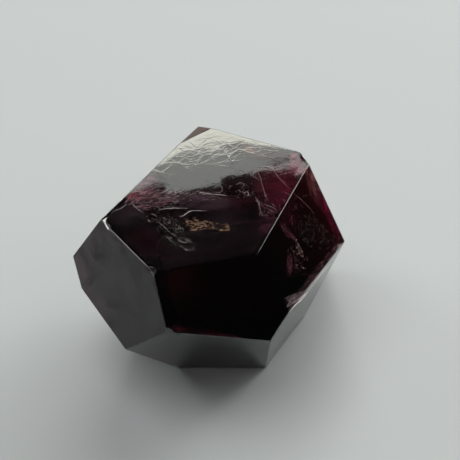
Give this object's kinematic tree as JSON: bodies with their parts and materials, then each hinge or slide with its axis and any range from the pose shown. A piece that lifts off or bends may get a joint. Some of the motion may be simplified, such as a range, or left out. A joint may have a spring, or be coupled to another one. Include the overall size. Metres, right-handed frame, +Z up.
{
  "type": "garnet crystal",
  "caption": "Hand-polished dark red garnet crystal, a worn rhombic dodecahedron with flat facets, that stands on its own base facet.",
  "frame": {"origin": "on the surface that the stone stands on, under the middle of its bounding box", "axes": "+Z up from the base facet, +X to the right as the dark front facet is faced, +Y from the front facet to the back"},
  "size_m": [0.051, 0.0504, 0.0393],
  "materials": {
    "garnet": "polished, very dark red, see-through only where it is thin"
  },
  "bodies": {
    "root": {"garnet_crystal": "garnet"}
  },
  "joints": []
}
